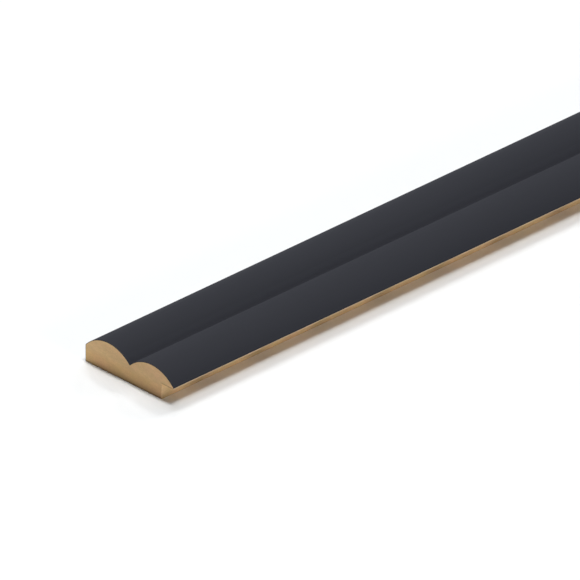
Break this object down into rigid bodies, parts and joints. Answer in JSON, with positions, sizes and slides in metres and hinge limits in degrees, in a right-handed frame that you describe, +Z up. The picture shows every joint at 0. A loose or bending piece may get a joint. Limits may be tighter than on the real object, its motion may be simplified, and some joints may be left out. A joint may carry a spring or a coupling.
{
  "type": "wall panel end trim",
  "caption": "Long reeded moulding that closes the edge of wall panelling: half-round reeds under a dark foil, flat back, one foil-covered edge and one rebated edge.",
  "frame": {"origin": "on the flat back, at the middle of the width and of the length", "axes": "+X across the trim from the foil-covered edge to the rebated edge, +Y along the length, +Z up out of the reeds"},
  "size_m": [0.06, 2.4, 0.016],
  "materials": {
    "fibreboard": "raw, sawn and planed fibreboard, matt",
    "foil": "smooth dark grey decor foil, satin matt"
  },
  "bodies": {
    "root": {"profile_core": "fibreboard", "face_foil": "foil"}
  },
  "joints": []
}
